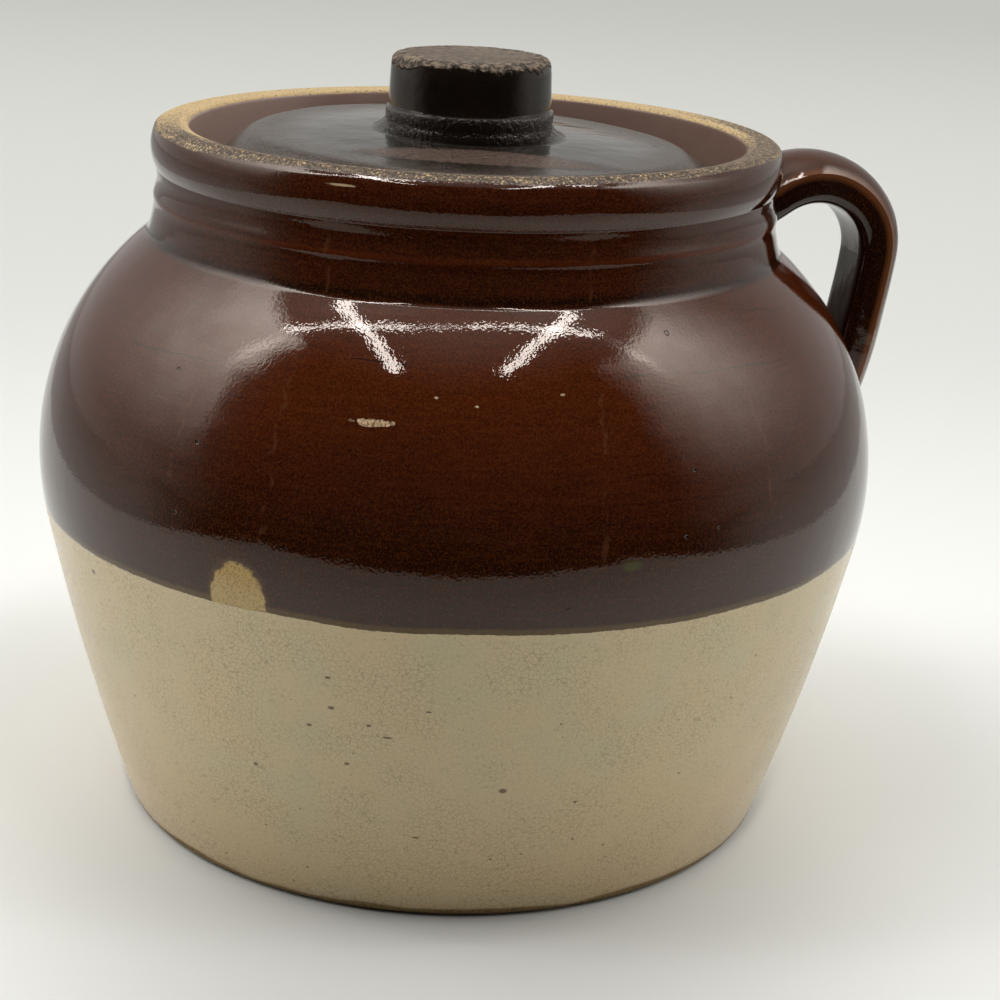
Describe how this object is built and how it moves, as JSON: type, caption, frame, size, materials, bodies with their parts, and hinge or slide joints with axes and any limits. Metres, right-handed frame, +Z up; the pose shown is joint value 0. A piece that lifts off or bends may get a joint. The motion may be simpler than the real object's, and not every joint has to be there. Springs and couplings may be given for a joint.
{
  "type": "stoneware bean pot",
  "caption": "Bulbous glazed stoneware bean pot with one ear handle and a loose inset lid with a flat knob, for slow baking and serving.",
  "frame": {"origin": "on the pot's axis, in the plane that its foot stands on", "axes": "+Z up along the pot's axis, +X towards the handle, so XZ is the plane of symmetry"},
  "size_m": [0.2498, 0.235, 0.2121],
  "materials": {
    "pot_glaze": "gloss brown glaze above, satin cream glaze below",
    "handle_glaze": "gloss brown glaze",
    "lid_glaze": "gloss black-brown glaze, knob top bare and worn"
  },
  "bodies": {
    "pot": {"vessel": "pot_glaze", "handle": "handle_glaze"},
    "lid": {"lid": "lid_glaze", "knob": "lid_glaze"}
  },
  "joints": [
    {"name": "lid_lift", "type": "slide", "parent": "pot", "child": "lid", "axis": [0, 0, 1], "range_m": [0, 0.05]}
  ]
}
